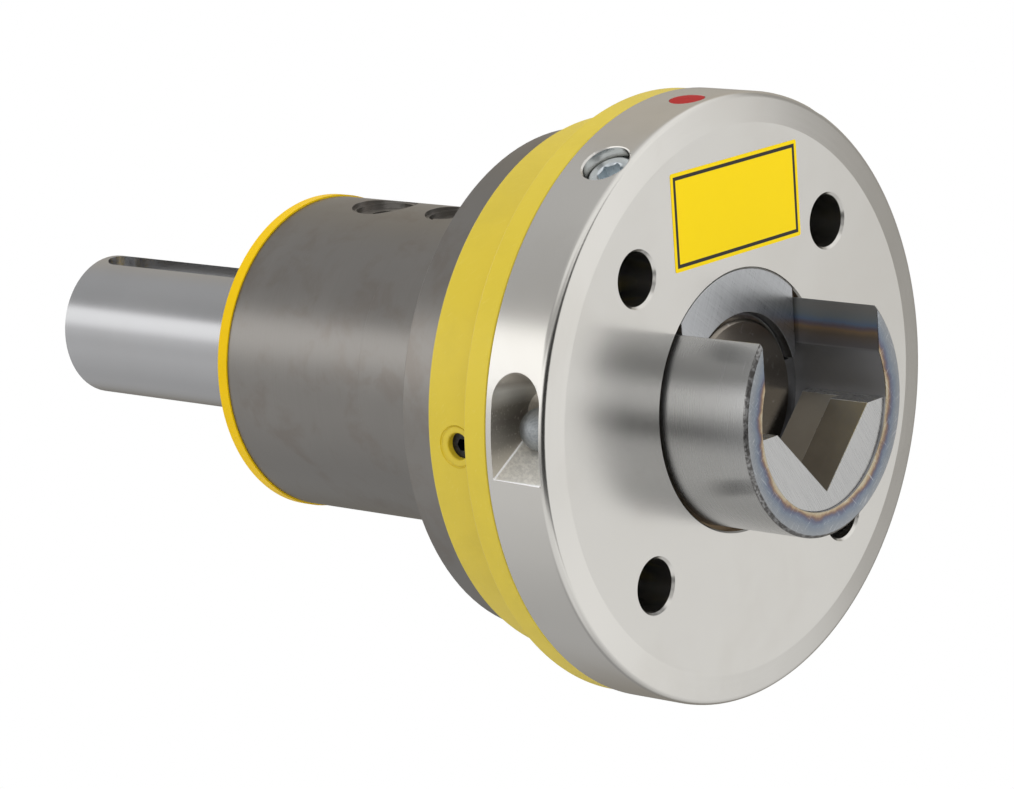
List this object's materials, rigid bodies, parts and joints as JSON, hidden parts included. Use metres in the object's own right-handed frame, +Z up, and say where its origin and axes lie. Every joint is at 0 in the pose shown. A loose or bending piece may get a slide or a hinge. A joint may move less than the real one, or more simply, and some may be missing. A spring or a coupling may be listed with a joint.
{
  "type": "winder safety chuck",
  "caption": "Flange-mounted safety chuck for winding shafts: a V jaw on a keyed shaft, closed by a sliding handwheel with an arched segment, in a bearing housing with a yellow guard ring.",
  "frame": {"origin": "centre of the flange's seating face on the chuck axis", "axes": "+Y along the chuck axis towards the machine side and the keyed journal, -Y towards the open jaw, +Z up where the open slot of the jaw points"},
  "size_m": [0.21, 0.3418, 0.21],
  "materials": {
    "dark_steel": "turned and burnished, oil-dark",
    "guard_yellow": "satin enamel",
    "cover_yellow": "satin enamel",
    "black_steel": "black oxide",
    "spring_steel": "phosphated",
    "seal_rubber": "matt",
    "zinc_steel": "zinc plated",
    "bearing_steel": "ground",
    "cage_brass": "machined",
    "ground_steel": "ground",
    "hardened_steel": "ground, heat tint at the jaw's front",
    "nickel_plate": "satin nickel plate",
    "bush_bronze": "sintered",
    "marker_red": "enamel",
    "button_steel": "satin"
  },
  "bodies": {
    "housing": {"housing": "dark_steel", "guard_ring": "guard_yellow", "guard_ring_screws": "black_steel", "front_retaining_ring": "spring_steel", "front_seal": "seal_rubber", "rear_cover": "cover_yellow", "rear_cover_screws": "zinc_steel", "rear_seal": "seal_rubber", "front_bearing_outer_race": "bearing_steel", "rear_bearing_outer_race": "bearing_steel"},
    "shaft": {"main_shaft": "ground_steel", "jaw_sleeve": "hardened_steel", "jaw_screws": "black_steel", "v_block": "ground_steel", "v_block_screw": "black_steel", "front_bearing_inner_race": "bearing_steel", "rear_bearing_inner_race": "bearing_steel", "bearing_spacer": "ground_steel", "rear_retaining_ring": "spring_steel"},
    "handwheel": {"handwheel": "nickel_plate", "closing_segment": "ground_steel", "segment_screws": "zinc_steel", "guide_bush": "bush_bronze", "red_marker": "marker_red", "spring_seat": "zinc_steel", "button_spring": "spring_steel", "pawl_pin": "spring_steel"},
    "release_button": {"release_button": "button_steel"},
    "lock_pawl": {"lock_pawl": "hardened_steel"},
    "front_ball_set": {"front_bearing_balls": "bearing_steel", "front_bearing_cage": "cage_brass"},
    "rear_ball_set": {"rear_bearing_balls": "bearing_steel", "rear_bearing_cage": "cage_brass"}
  },
  "joints": [
    {"name": "shaft_spin", "type": "hinge", "parent": "housing", "child": "shaft", "pos_m": [0, 0, 0], "axis": [0, 1, 0], "continuous": true},
    {"name": "handwheel_slide", "type": "slide", "parent": "shaft", "child": "handwheel", "axis": [0, -1, 0], "range_m": [0, 0.0348]},
    {"name": "button_press", "type": "slide", "parent": "handwheel", "child": "release_button", "axis": [1, 0, 0], "range_m": [0, 0.003], "stiffness_N_per_m": 1500, "springref_m": -0.004, "deforming": ["button_spring"]},
    {"name": "pawl_swing", "type": "hinge", "parent": "handwheel", "child": "lock_pawl", "pos_m": [-0.053, -0.0521, 0.009], "axis": [0, 0, 1], "range_deg": [0, 14.5]},
    {"name": "front_ball_set_spin", "type": "hinge", "parent": "housing", "child": "front_ball_set", "pos_m": [0, -0.014, 0], "axis": [0, 1, 0], "continuous": true},
    {"name": "rear_ball_set_spin", "type": "hinge", "parent": "housing", "child": "rear_ball_set", "pos_m": [0, 0.099, 0], "axis": [0, 1, 0], "continuous": true}
  ],
  "couplings": [
    {"joint": "pawl_swing", "follows": "button_press", "rad_per_m": 81.967},
    {"joint": "front_ball_set_spin", "follows": "shaft_spin", "ratio": 0.4294},
    {"joint": "rear_ball_set_spin", "follows": "shaft_spin", "ratio": 0.42337}
  ]
}
